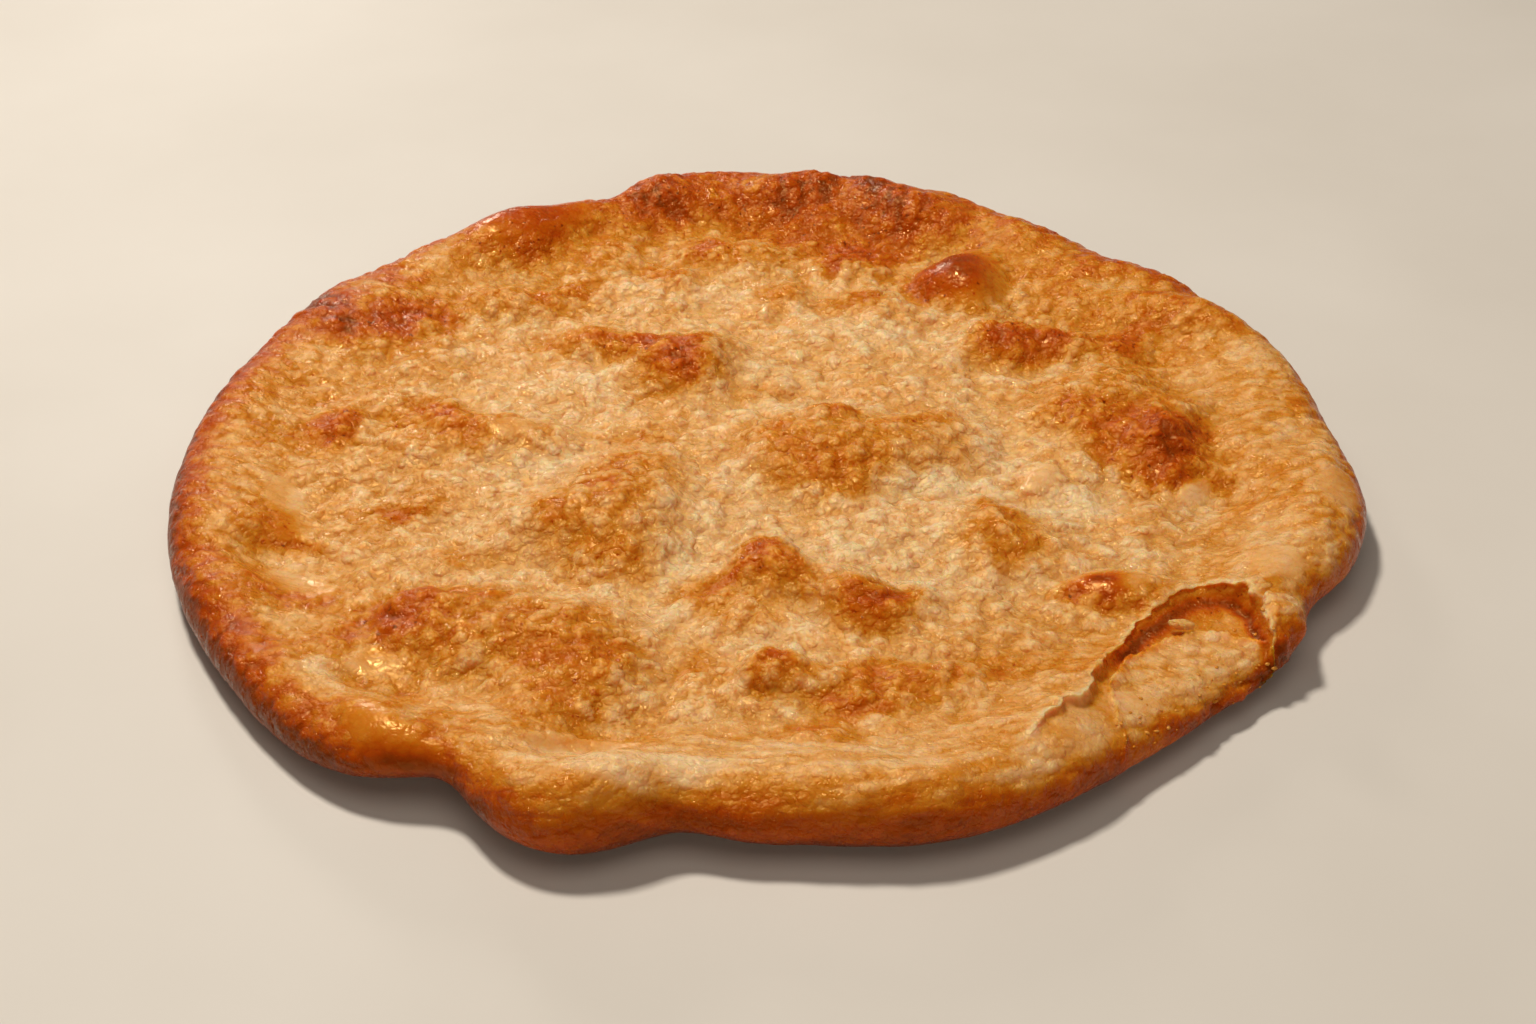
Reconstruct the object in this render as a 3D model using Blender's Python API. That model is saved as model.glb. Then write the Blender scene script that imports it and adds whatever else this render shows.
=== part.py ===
"""Langos: a round yeast-dough flatbread, deep fried until its rim puffs up and browns.

One solid, closed all round. Its upper face is a dished disc with a puffy rim, blisters that the steam
raised, and a tear near the rim where a pocket has burst and left a lip over a lower ledge. Its under
face is flat where it lies on the table and lifts off it at the rim. All sizes below are millimetres
and degrees; +X is to the right, +Y to the back, and +Z up from the table.
"""

import math

import bmesh
import bpy
import numpy as np

MM = 0.001

# The outline and the section of the bread
RADIUS = 110.0           # of the outline at the widest level of the rim
MIDDLE_THICKNESS = 8.4   # of the dough between the blisters
RIM_HEIGHT = 12.4        # of the rim's crest, before its own ups and downs
RIM_ROUND = 7.5          # how far the rim's crest lies inside the outline
RIM_SLOPE = 20.0         # width of the slope from the crest down to the middle
WIDEST_LEVEL = 0.44      # height of the widest level, as a share of the rim's height
WIDEST_LIFT = 0.5        # and as a share of the lift below
UNDER_ROUND = 8.0        # how far the under edge curls in below the outline
FLAT_RADIUS = 78.0       # of the flat patch that lies on the table
RIM_LIFT = 1.0           # how far the under face stands off the table beside the rim

# Mesh fineness
SPACING = 3.25           # between neighbouring points of the upper face
UNDER_TURNS = 3          # rings round the under edge
UNDER_RINGS = 3          # rings between the under edge and the flat patch

# Bulges and dents of the outline: (direction in degrees, half width in degrees, outward amount)
OUTLINE_WAVES = [
    (-131, 10, 1.8), (-118, 5, -5.0), (-107, 7, 2.6), (-97.5, 5, -4.2), (-88, 10, -4.4),
    (-48, 18, -5.0), (-33, 4, 1.2), (-25, 4.5, -2.4), (-9, 11, 3.4), (16, 10, 2.2), (44, 5, -3.6),
    (66, 34, 4.0), (57, 8, -4.4), (97, 13, 5.0), (108, 4, -4.2), (146, 9, 1.6), (172, 22, -0.6),
]

# Rises and falls of the rim's crest: (direction, half width, amount)
CREST_WAVES = [
    (82, 26, 1.8), (128, 12, 0.6), (160, 25, -0.8), (-165, 20, -0.6), (-106, 12, 1.6), (-78, 16, 0.8),
    (-20, 12, 1.0), (38, 14, 0.8),
]

# Places where the under edge stands higher off the table: (direction, half width, amount)
LIFT_WAVES = [(-119, 9, 3.2), (-94, 5, 1.4), (-60, 12, 0.3), (-22, 8, 1.0)]

# Blisters and hollows: (x, y, half length, half width, turn in degrees, height)
BLISTERS = [
    # the broad mounds of the middle
    (-27, -20, 17, 21, 0, 6.0), (-40, -22, 10, 13, 0, 2.4), (16, -1, 18, 18, 0, 5.6),
    (33, 4, 13, 12, 0, 2.8), (70, 13, 19, 22, 0, 4.6), (77, -1, 12, 13, 0, 3.6), (45, -27, 16, 15, 0, 4.6),
    (-14, 35, 16, 16, 0, 4.8), (-32, 42, 12, 9, 0, 3.0), (-30, -62, 17, 18, 0, 5.0),
    (-50, -53, 18, 14, 0, 3.8), (-60, -52, 9, 10, 0, 2.2), (53, 42, 15, 11, 0, 3.8),
    (70, 39, 14, 9, -15, 2.6), (-59, 9, 17, 11, 0, 3.0), (-43, 5, 12, 10, 0, 2.4),
    # the small steep ones
    (44, 68, 13, 12, 0, 6.4), (1, -39, 10, 10, 0, 4.8), (13, -41, 10, 9, 0, 2.8),
    (20, -47, 11, 9.5, 0, 4.6), (5.5, -69, 7, 6.5, 0, 3.4), (14, 12, 6, 5, 0, 1.6), (-20, 67, 6, 6, 0, 2.0),
    (-80, 11, 7, 8, 0, 1.8), (53, -8, 5, 4, 0, 1.4),
    # the low ones at the back
    (-49, 61, 13, 9, 0, 2.6), (3, 60, 10, 8, 0, 1.9), (26, 56, 12, 10, 0, 2.0), (-5, 80, 14, 9, 0, 2.2),
    (17, 75, 12, 9, 0, 2.2), (-32, 76, 11, 8, 0, 2.0), (-66, 34, 12, 9, 20, 1.6), (38, 92, 12, 9, -20, 1.8),
    # those on the rim and at its inner foot
    (-77, 49, 19, 16, 0, 3.6), (-49, 86, 18, 11, 30, 3.0), (-14, 103, 14, 8, 0, 2.0),
    (9, 104, 9, 8, 0, 1.8), (27, 98, 12, 9, -20, 1.8), (76, 52, 27, 8, -33, 2.6), (22, -71, 18, 8, 8, 2.2),
    (11, -82, 11, 5, 5, 1.4), (64, -44, 12, 8, 0, 2.6), (-24, -100, 18, 9, 0, 1.2),
    (-58, -87, 17, 9, -35, 1.8), (99, -14, 10, 18, 0, 1.2), (93, -57, 11, 6, -65, 3.0),
    # hollows
    (-27, -87, 8, 4, 0, -1.8), (-83, -34, 12, 9, -38, -2.4), (84, -19, 13, 6, 40, -2.0),
    (-60, -70, 10, 6, -35, -1.6), (-2, 16, 14, 9, 0, -1.0),
]
BLISTER_POWER = 1.3      # 1 ends at a sharp foot, and more runs out gently
WARP_LENGTH = 17.0       # the blisters' outlines wander over this distance
WARP = 3.4               # by this much

# The tear: the lip's line from its left end to where the flap meets the rim: (x, y, drop of the wall)
LIP = [
    (41, -93, 0.0), (44.8, -86, 1.2), (49.5, -80.6, 2.0), (53.5, -77.3, 2.3), (55.6, -71.4, 2.6),
    (57.7, -67.5, 3.2), (60.8, -61.6, 4.6), (62.8, -56.6, 5.4), (66, -52.8, 6.2), (69.3, -49.2, 6.6),
    (73, -45.8, 6.8), (77.5, -44.3, 6.8), (82, -45, 6.6), (85.4, -48.8, 6.2), (86.2, -54, 5.4),
    (86.6, -60, 4.2), (89, -65.5, 2.6), (94, -69, 1.2), (99, -71, 0.0),
]
LIP_SAMPLES = 6          # straight pieces between two points of the lip's line
FULL_TEAR = 3.0          # where the wall drops this far, the ledge lies free of the upper face
LEDGE_HEIGHT = 9.2       # of the ledge below the tear
LEDGE_RISE = 2.2         # of the ledge from its middle to its left end
LEDGE_LEFT = (44.0, 62.0)
LEDGE_UNEVENNESS = 0.4   # share of the dough's own unevenness that the ledge keeps
GROOVE_DEPTH = 1.3       # of the groove at the foot of the wall, below the ledge
GROOVE_WIDTH = 6.0
WALL_REACH = 4.2         # points this near the line go to the top or the foot of the wall
WALL_SPREAD = 0.12       # share of their distance that they keep
WALL_PULL = 10.0         # points this near are drawn towards it

# The dough's own unevenness: (wavelength, height)
UNEVENNESS = [(26.0, 1.1), (11.5, 1.1)]
SEED = 7


def wave(angle, waves):
    """The sum of the named swellings round the rim, at angles in degrees."""
    total = np.zeros_like(angle)
    for centre, half_width, amount in waves:
        away = (angle - centre + 180.0) % 360.0 - 180.0
        total += amount * np.exp(-((away / half_width) ** 2))
    return total


def smooth_step(x):
    x = np.clip(x, 0.0, 1.0)
    return x * x * (3.0 - 2.0 * x)


def lattice_value(i, j, seed):
    """A fixed value from -1 to 1 for each corner of a square lattice."""
    h = np.sin(i * 127.1 + j * 311.7 + seed * 74.7) * 43758.5453
    return 2.0 * (h - np.floor(h)) - 1.0


def value_noise(x, y, seed):
    """Smooth noise of unit wavelength, from -1 to 1."""
    i, j = np.floor(x), np.floor(y)
    u, v = smooth_step(x - i), smooth_step(y - j)
    low = lattice_value(i, j, seed) * (1 - u) + lattice_value(i + 1, j, seed) * u
    high = lattice_value(i, j + 1, seed) * (1 - u) + lattice_value(i + 1, j + 1, seed) * u
    return low * (1 - v) + high * v


def unevenness(x, y):
    return sum(
        height * value_noise(x / length, y / length, SEED + k)
        for k, (length, height) in enumerate(UNEVENNESS)
    )


def outline(angle):
    return RADIUS + wave(angle, OUTLINE_WAVES)


def crest_height(angle):
    return RIM_HEIGHT + wave(angle, CREST_WAVES)


def blister_height(x, y):
    """How far the blisters lift the upper face, and the hollows lower it."""
    total = np.zeros_like(x)
    x, y = (
        x + WARP * value_noise(x / WARP_LENGTH, y / WARP_LENGTH, SEED + 10),
        y + WARP * value_noise(x / WARP_LENGTH, y / WARP_LENGTH, SEED + 11),
    )
    for bx, by, length, width, turn, height in BLISTERS:
        c, s = math.cos(math.radians(turn)), math.sin(math.radians(turn))
        along, across = (x - bx) * c + (y - by) * s, (y - by) * c - (x - bx) * s
        inside = np.clip(1.0 - (along / length) ** 2 - (across / width) ** 2, 0.0, None)
        total += height * inside**BLISTER_POWER
    return total


def whole_face(x, y):
    """Height of the upper face as if nothing had torn."""
    angle, reach = np.degrees(np.arctan2(y, x)), np.hypot(x, y)
    crest_at = outline(angle) - RIM_ROUND
    rise = smooth_step((reach - crest_at + RIM_SLOPE) / RIM_SLOPE)
    dish = MIDDLE_THICKNESS + (crest_height(angle) - MIDDLE_THICKNESS) * rise
    return dish + blister_height(x, y) + unevenness(x, y)


def lip_line():
    """The lip's points, smoothed through LIP, and the wall's drop at each: (points, drops)."""
    p = np.array(LIP, float)
    p = np.vstack([2 * p[0] - p[1], p, 2 * p[-1] - p[-2]])
    line = []
    for a, b, c, d in zip(p, p[1:], p[2:], p[3:]):
        for t in np.arange(LIP_SAMPLES) / LIP_SAMPLES:
            bend, twist = 2 * a - 5 * b + 4 * c - d, 3 * b - a - 3 * c + d
            line.append(0.5 * (2 * b + (c - a) * t + bend * t**2 + twist * t**3))
    line.append(p[-2])
    line = np.array(line)
    return line[:, :2], np.clip(line[:, 2], 0.0, None)


def from_lip(x, y):
    """(distance, positive on the ledge's side; direction towards the ledge; the wall's drop there)."""
    line, drops = lip_line()
    start, step = line[:-1], np.diff(line, axis=0)
    best = np.full(x.shape, np.inf)
    side, drop = np.zeros_like(x), np.zeros_like(x)
    facing = np.zeros(x.shape + (2,))
    for (sx, sy), (dx, dy), d0, d1 in zip(start, step, drops, drops[1:]):
        length = math.hypot(dx, dy)
        t = np.clip(((x - sx) * dx + (y - sy) * dy) / length**2, 0.0, 1.0)
        gap = np.hypot(x - sx - t * dx, y - sy - t * dy)
        nearer = gap < best
        best = np.where(nearer, gap, best)
        turn = dx * (y - sy) - dy * (x - sx)
        side = np.where(nearer, np.where(turn < 0, 1.0, -1.0), side)
        drop = np.where(nearer, d0 + (d1 - d0) * t, drop)
        facing[nearer] = (dy / length, -dx / length)
    return best * side, facing, drop


def draw_to_lip(x, y):
    """Points near the lip's line move up to it, so that the wall is steep: (x, y, distance, drop)."""
    away, facing, drop = from_lip(x, y)
    near, stretch = np.abs(away), (WALL_PULL - WALL_SPREAD * WALL_REACH) / (WALL_PULL - WALL_REACH)
    drawn = np.where(
        near < WALL_REACH, WALL_SPREAD * near, (near - WALL_REACH) * stretch + WALL_SPREAD * WALL_REACH
    )
    share = smooth_step(drop)
    new = np.where(near < WALL_PULL, near + (drawn - near) * share, near)
    shift = np.sign(away) * (new - near)
    return x + facing[..., 0] * shift, y + facing[..., 1] * shift, np.sign(away) * new, drop


def upper_face(x, y, away, drop):
    """Height of the upper face, with the ledge let down on its side of the lip."""
    whole = whole_face(x, y)
    left, middle = LEDGE_LEFT
    level = LEDGE_HEIGHT + LEDGE_RISE * smooth_step((middle - x) / (middle - left))
    groove = GROOVE_DEPTH * np.exp(-((away / GROOVE_WIDTH) ** 2))
    lowered = np.minimum(level + LEDGE_UNEVENNESS * unevenness(x, y) - groove, whole)
    ledge = whole + (lowered - whole) * smooth_step(drop / FULL_TEAR)
    return np.where(away > 0, ledge, whole)


def under_face(x, y):
    """Height of the under face: flat in the middle, lifted at the rim."""
    angle, reach = np.degrees(np.arctan2(y, x)), np.hypot(x, y)
    out = smooth_step((reach - FLAT_RADIUS) / (outline(angle) - FLAT_RADIUS))
    return out * (RIM_LIFT + wave(angle, LIFT_WAVES))


def ring_angles(reach, spacing, turn):
    """Evenly spread directions for a ring, a whole number of sixths, in degrees."""
    count = 6 * max(1, round(2 * math.pi * reach / spacing / 6))
    return (np.arange(count) + turn) * 360.0 / count


def upper_rings():
    """The upper face's points, ring by ring, from its middle to the widest level of the rim."""
    length = RADIUS - RIM_ROUND + RIM_ROUND * math.pi / 2
    count = round(length / SPACING)
    rings = []
    for k in range(1, count + 1):
        along = k / count
        turn = 0.5 * (k % 2)
        angle = ring_angles(min(along * length, RADIUS), SPACING, turn)
        inner = outline(angle) - RIM_ROUND
        run = along * (inner + RIM_ROUND * math.pi / 2)
        bend = np.clip((run - inner) / RIM_ROUND, 0.0, math.pi / 2)
        reach = np.minimum(run, inner) + RIM_ROUND * np.sin(bend)
        x, y = reach * np.cos(np.radians(angle)), reach * np.sin(np.radians(angle))
        if k < count:
            x, y, away, drop = draw_to_lip(x, y)
        else:
            away, _, drop = from_lip(x, y)
        top = upper_face(x, y, away, drop)
        widest = widest_level(angle, top)
        rings.append(np.stack([x, y, widest + (top - widest) * np.cos(bend)], -1))
    return rings


def widest_level(angle, top):
    lift = RIM_LIFT + wave(angle, LIFT_WAVES)
    return lift * WIDEST_LIFT + top * WIDEST_LEVEL


def under_rings(edge):
    """The under side's rings, from below the edge ring to the rim of the flat patch."""
    angle = np.degrees(np.arctan2(edge[:, 1], edge[:, 0]))
    radius = outline(angle)
    rings = []
    for k in range(1, UNDER_TURNS + 1):
        bend = k / UNDER_TURNS * math.pi / 2
        reach = radius - UNDER_ROUND * (1 - math.cos(bend))
        x, y = reach * np.cos(np.radians(angle)), reach * np.sin(np.radians(angle))
        z = edge[:, 2] + (under_face(x, y) - edge[:, 2]) * math.sin(bend)
        rings.append(np.stack([x, y, z], -1))
    for k in range(1, UNDER_RINGS + 1):
        reach = radius - UNDER_ROUND + (FLAT_RADIUS - radius + UNDER_ROUND) * k / UNDER_RINGS
        x, y = reach * np.cos(np.radians(angle)), reach * np.sin(np.radians(angle))
        rings.append(np.stack([x, y, under_face(x, y)], -1))
    return rings


def stitched(outer, inner, directions):
    """Triangles between two rings of points, walking round both by direction."""
    faces, i, j = [], 0, 0
    n, m = len(outer), len(inner)
    while i < n or j < m:
        next_outer = directions[outer[(i + 1) % n]] + 360.0 * ((i + 1) // n)
        next_inner = directions[inner[(j + 1) % m]] + 360.0 * ((j + 1) // m)
        if j >= m or (i < n and next_outer <= next_inner):
            faces.append((outer[i % n], outer[(i + 1) % n], inner[j % m]))
            i += 1
        else:
            faces.append((outer[i % n], inner[(j + 1) % m], inner[j % m]))
            j += 1
    return faces


def bread_mesh():
    upper = upper_rings()
    under = under_rings(upper[-1])
    centre = np.zeros((1, 3))
    centre[0, 2] = upper_face(np.zeros(1), np.zeros(1), np.full(1, -RADIUS), np.zeros(1))[0]
    points = [centre, *upper, *under]
    starts = np.cumsum([0] + [len(p) for p in points])
    members = [list(range(a, b)) for a, b in zip(starts, starts[1:])]
    directions = {}
    for k, ring in enumerate(members[1:], 1):
        turn = 0.5 * (k % 2) if k <= len(upper) else 0.5 * (len(upper) % 2)
        for n, v in enumerate(ring):
            directions[v] = (n + turn) * 360.0 / len(ring)
    faces = [(0, members[1][n], members[1][(n + 1) % len(members[1])]) for n in range(len(members[1]))]
    for inner, outer in zip(members[1:], members[2:]):
        faces += stitched(outer, inner, directions)
    faces.append(tuple(reversed(members[-1])))

    mesh = bpy.data.meshes.new("langos")
    mesh.from_pydata((np.vstack(points) * MM).tolist(), [], faces)
    tidy = bmesh.new()
    tidy.from_mesh(mesh)
    bmesh.ops.recalc_face_normals(tidy, faces=tidy.faces)
    tidy.to_mesh(mesh)
    tidy.free()
    return mesh


def crust_material():
    material = bpy.data.materials.new("fried_crust")
    material.use_nodes = True
    shader = material.node_tree.nodes["Principled BSDF"]
    shader.inputs["Base Color"].default_value = (0.62, 0.30, 0.09, 1.0)
    shader.inputs["Roughness"].default_value = 0.45
    shader.inputs["Metallic"].default_value = 0.0
    material.diffuse_color = (0.62, 0.30, 0.09, 1.0)
    return material


def main():
    for old in list(bpy.data.objects):
        bpy.data.objects.remove(old)
    mesh = bread_mesh()
    mesh.shade_smooth()
    mesh.materials.append(crust_material())
    bread = bpy.data.objects.new("langos", mesh)
    bpy.context.scene.collection.objects.link(bread)


main()
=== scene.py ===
"""A plain langos just lifted from the oil, lying on a pale table top.

The crust is one closed skin. Its form is worked out from the bread's named sizes: the wavy outline, the
puffed rim, the blisters, and the tear with its lip and ledge. The skin is laid out flat first, as a disc
whose middle is the middle of the upper face and whose border is the middle of the under face, and is then
wrapped round the dough. Finer relief stands along the skin's own normals. Sizes are in millimetres and
directions in degrees; +X is to the right, +Y to the back, and +Z up from the table.
"""

import math

import bmesh
import bpy
import numpy as np
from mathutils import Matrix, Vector


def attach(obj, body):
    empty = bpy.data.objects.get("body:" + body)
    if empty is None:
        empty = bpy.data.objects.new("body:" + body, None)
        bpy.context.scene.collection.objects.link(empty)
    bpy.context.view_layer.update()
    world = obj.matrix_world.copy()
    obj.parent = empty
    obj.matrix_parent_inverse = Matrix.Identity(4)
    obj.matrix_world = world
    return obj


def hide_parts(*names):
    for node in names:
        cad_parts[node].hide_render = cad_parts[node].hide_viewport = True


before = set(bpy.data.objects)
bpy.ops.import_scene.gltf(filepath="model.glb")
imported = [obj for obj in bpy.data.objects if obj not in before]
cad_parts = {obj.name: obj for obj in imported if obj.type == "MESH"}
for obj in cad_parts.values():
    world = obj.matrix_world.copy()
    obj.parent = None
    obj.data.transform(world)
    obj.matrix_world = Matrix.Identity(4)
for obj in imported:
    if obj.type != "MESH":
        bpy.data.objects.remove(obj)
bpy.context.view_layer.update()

MM = 0.001

# ---------------------------------------------------------------- the bread's form, as the solid has it

RADIUS = 110.0                   # the outline's, before its waves
MIDDLE_THICKNESS = 8.4
RIM_HEIGHT = 12.4
RIM_ROUND = 7.5                  # radius of the rim's turn from its crest to its side
RIM_SLOPE = 20.0                 # width of its inner slope
WIDEST_LEVEL = 0.44              # share of its height at which it is widest
UNDER_ROUND = 8.0                # radius of its turn to the under face
FLAT_RADIUS = 78.0               # the under face is flat within this
RIM_LIFT = 1.0                   # of the under face at the outline

# (direction, half width, amount)
OUTLINE_WAVES = [
    (-131, 10, 1.8), (-118, 5, -5.0), (-107, 7, 2.6), (-97.5, 5, -4.2), (-88, 10, -4.4),
    (-48, 18, -5.0), (-33, 4, 1.2), (-25, 4.5, -2.4), (-9, 11, 3.4), (16, 10, 2.2), (44, 5, -3.6),
    (66, 34, 4.0), (57, 8, -4.4), (97, 13, 5.0), (108, 4, -4.2), (146, 9, 1.6), (172, 22, -0.6),
]
CREST_WAVES = [
    (82, 26, 1.8), (128, 12, 0.6), (160, 25, -0.8), (-165, 20, -0.6), (-106, 12, 1.6), (-78, 16, 0.8),
    (-20, 12, 1.0), (38, 14, 0.8),
]
LIFT_WAVES = [(-119, 9, 3.2), (-94, 5, 1.4), (-60, 12, 0.3), (-22, 8, 1.0)]

# (x, y, half length, half width, turn, height)
BLISTERS = [
    # the broad mounds of the middle
    (-27, -20, 17, 21, 0, 6.0), (-40, -22, 10, 13, 0, 2.4), (16, -1, 18, 18, 0, 5.6),
    (33, 4, 13, 12, 0, 2.8), (70, 13, 19, 22, 0, 4.6), (77, -1, 12, 13, 0, 3.6), (45, -27, 16, 15, 0, 4.6),
    (-14, 35, 16, 16, 0, 4.8), (-32, 42, 12, 9, 0, 3.0), (-30, -62, 17, 18, 0, 5.0),
    (-50, -53, 18, 14, 0, 3.8), (-60, -52, 9, 10, 0, 2.2), (53, 42, 15, 11, 0, 3.8),
    (70, 39, 14, 9, -15, 2.6), (-59, 9, 17, 11, 0, 3.0), (-43, 5, 12, 10, 0, 2.4),
    # the small steep ones
    (44, 68, 13, 12, 0, 6.4), (1, -39, 10, 10, 0, 4.8), (13, -41, 10, 9, 0, 2.8),
    (20, -47, 11, 9.5, 0, 4.6), (5.5, -69, 7, 6.5, 0, 3.4), (14, 12, 6, 5, 0, 1.6), (-20, 67, 6, 6, 0, 2.0),
    (-80, 11, 7, 8, 0, 1.8), (53, -8, 5, 4, 0, 1.4),
    # the low ones at the back
    (-49, 61, 13, 9, 0, 2.6), (3, 60, 10, 8, 0, 1.9), (26, 56, 12, 10, 0, 2.0), (-5, 80, 14, 9, 0, 2.2),
    (17, 75, 12, 9, 0, 2.2), (-32, 76, 11, 8, 0, 2.0), (-66, 34, 12, 9, 20, 1.6), (38, 92, 12, 9, -20, 1.8),
    # those on the rim and at its inner foot
    (-77, 49, 19, 16, 0, 3.6), (-49, 86, 18, 11, 30, 3.0), (-14, 103, 14, 8, 0, 2.0),
    (9, 104, 9, 8, 0, 1.8), (27, 98, 12, 9, -20, 1.8), (76, 52, 27, 8, -33, 2.6), (22, -71, 18, 8, 8, 2.2),
    (11, -82, 11, 5, 5, 1.4), (64, -44, 12, 8, 0, 2.6), (-24, -100, 18, 9, 0, 1.2),
    (-58, -87, 17, 9, -35, 1.8), (99, -14, 10, 18, 0, 1.2), (92, -57.5, 11, 6.5, -68, 4.0),
    # hollows
    (-27, -87, 8, 4, 0, -1.8), (-83, -34, 12, 9, -38, -2.4), (84, -19, 13, 6, 40, -2.0),
    (-60, -70, 10, 6, -35, -1.6), (-2, 16, 14, 9, 0, -1.0),
]
BLISTER_POWER = 1.3              # 1 ends at a sharp foot, and more runs out gently
WARP_LENGTH = 17.0               # the blisters' outlines wander over this length
WARP = 3.4                       # and by this much

# the lip of the tear, from its left end to its right end on the rim: (x, y, drop, reach of the wall)
LIP = [
    (41, -93, 0.0, 1.2), (44.8, -86, 1.0, 1.2), (49.5, -80.6, 1.7, 1.4), (53.5, -77.3, 2.0, 1.6),
    (55.6, -71.4, 2.3, 1.8), (57.7, -67.5, 3.0, 2.2), (60.8, -61.6, 4.4, 3.0), (62.8, -56.6, 5.4, 3.8),
    (66, -52.8, 6.2, 4.4), (69.3, -49.2, 6.6, 4.8), (73, -45.8, 6.8, 5.0), (77.5, -44.3, 6.8, 5.0),
    (82, -45, 6.6, 4.4), (85.4, -48.8, 6.2, 3.6), (86.2, -54, 5.4, 2.6), (86.6, -60, 4.2, 2.2),
    (89, -65.5, 2.6, 1.8), (94, -69, 1.2, 1.5), (99, -71, 0.0, 1.5),
]
LINE_SAMPLES = 6                 # of a smooth line, for each of its rows
LEDGE_HEIGHT = 9.2
LEDGE_RISE = 3.2                 # from its middle to its left end
LEDGE_LEFT = (46.0, 66.0)        # x of its left end and of its middle

UNEVENNESS = [(26.0, 1.1), (11.5, 1.1)]      # (wavelength, height)
SEED = 7

# ---------------------------------------------------------------- the skin's mesh

SPACING = 0.77                   # between points of the upper face
UNDER_TURNS = 9                  # rings round the under edge
UNDER_SPACING = 2.3              # between points of the under face
TEAR_ZONE = 7.0                  # the skin is twice as fine this near the lip
EDGE_ZONE = 2.2                  # and this near the edge of the ledge's skin

# where the ledge's own skin ends and the bared dough under the lip begins
LEDGE_EDGE = [
    (40, -99), (48, -95.5), (55, -92), (59, -88), (58.2, -82.5), (57, -77), (57.6, -71.8), (60.4, -66.4),
    (64, -62.8), (70.6, -57.6), (76, -56), (80.7, -56.8), (84.5, -58.4), (88, -61), (92, -63),
]
BARE_DIP = 0.9                   # the bared dough lies this much lower than the ledge's skin
EDGE_CURL = 0.45                 # how far the ledge's torn skin stands up at its edge

# The section of the wall under the lip, from the lip (share 0) to the bared dough (share 1). LENGTH and REACH
# say how far each point lies on the ledge's side of the lip: a length, and a share of the wall's reach on top
# of it. FALL is its share of the drop.
WALL_RUN = 1.6                   # of the flat skin, for each millimetre that the wall reaches out
SECTION_SHARE = [0.0, 0.06, 0.13, 0.24, 0.42, 0.64, 0.84, 1.0]
SECTION_LENGTH = [0.0, 0.30, 0.10, -0.15, -0.10, 0.0, 0.0, 0.0]
SECTION_REACH = [0.0, 0.0, 0.02, 0.10, 0.26, 0.46, 0.72, 1.0]
SECTION_FALL = [0.0, 0.07, 0.16, 0.34, 0.64, 0.93, 1.02, 1.0]
LIP_CURL = 0.7                   # how far the lip's thin edge curls up
LIP_TEETH = 0.6                  # how far its torn edge wanders
EDGE_TEETH = 0.55                # how far the edge of the ledge's skin does
TEETH_LENGTH = 2.6
LIP_PULL = 6.0                   # the upper skin is drawn towards the lip over this distance


def wave(angle, waves):
    """The sum of the named swellings round the rim."""
    total = np.zeros_like(angle)
    for centre, half_width, amount in waves:
        away = (angle - centre + 180.0) % 360.0 - 180.0
        total += amount * np.exp(-((away / half_width) ** 2))
    return total


def smooth_step(x):
    x = np.clip(x, 0.0, 1.0)
    return x * x * (3.0 - 2.0 * x)


def lattice_value(i, j, seed):
    """A fixed value from -1 to 1 for each corner of a square lattice."""
    h = np.sin(i * 127.1 + j * 311.7 + seed * 74.7) * 43758.5453
    return 2.0 * (h - np.floor(h)) - 1.0


def value_noise(x, y, seed):
    """Smooth noise of unit wavelength, from -1 to 1."""
    i, j = np.floor(x), np.floor(y)
    u, v = smooth_step(x - i), smooth_step(y - j)
    low = lattice_value(i, j, seed) * (1 - u) + lattice_value(i + 1, j, seed) * u
    high = lattice_value(i, j + 1, seed) * (1 - u) + lattice_value(i + 1, j + 1, seed) * u
    return low * (1 - v) + high * v


def layered_noise(x, y, length, layers, seed):
    """Noise with finer and weaker layers, each turned against the one before."""
    total, amount = np.zeros_like(x), 1.0
    for k in range(layers):
        total += amount * value_noise(x / length, y / length, seed + k)
        x, y = 0.8 * x - 0.6 * y + 31.0, 0.6 * x + 0.8 * y + 17.0
        length *= 0.5
        amount *= 0.5
    return total


def gradient_noise(x, y, seed):
    """Smooth noise of unit wavelength about 0, with no flat corners."""
    i, j = np.floor(x), np.floor(y)
    u, v = x - i, y - j

    def corner(di, dj):
        turn = math.pi * lattice_value(i + di, j + dj, seed)
        return (u - di) * np.cos(turn) + (v - dj) * np.sin(turn)

    fade_u, fade_v = u**3 * (u * (6 * u - 15) + 10), v**3 * (v * (6 * v - 15) + 10)
    low = corner(0, 0) * (1 - fade_u) + corner(1, 0) * fade_u
    high = corner(0, 1) * (1 - fade_u) + corner(1, 1) * fade_u
    return low * (1 - fade_v) + high * fade_v


def cells(x, y, seed):
    """Unit cells round scattered points: distance to the nearest point, and its cell's value from -1 to 1."""
    i, j = np.floor(x), np.floor(y)
    near, tag = np.full(x.shape, np.inf), np.zeros_like(x)
    for di in (-1, 0, 1):
        for dj in (-1, 0, 1):
            ci, cj = i + di, j + dj
            px = ci + 0.5 + 0.45 * lattice_value(ci, cj, seed)
            py = cj + 0.5 + 0.45 * lattice_value(ci, cj, seed + 1)
            gap = np.hypot(x - px, y - py)
            closer = gap < near
            tag = np.where(closer, lattice_value(ci, cj, seed + 2), tag)
            near = np.where(closer, gap, near)
    return near, tag


def unevenness(x, y):
    return sum(
        height * value_noise(x / length, y / length, SEED + k)
        for k, (length, height) in enumerate(UNEVENNESS)
    )


def outline(angle):
    return RADIUS + wave(angle, OUTLINE_WAVES)


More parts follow.
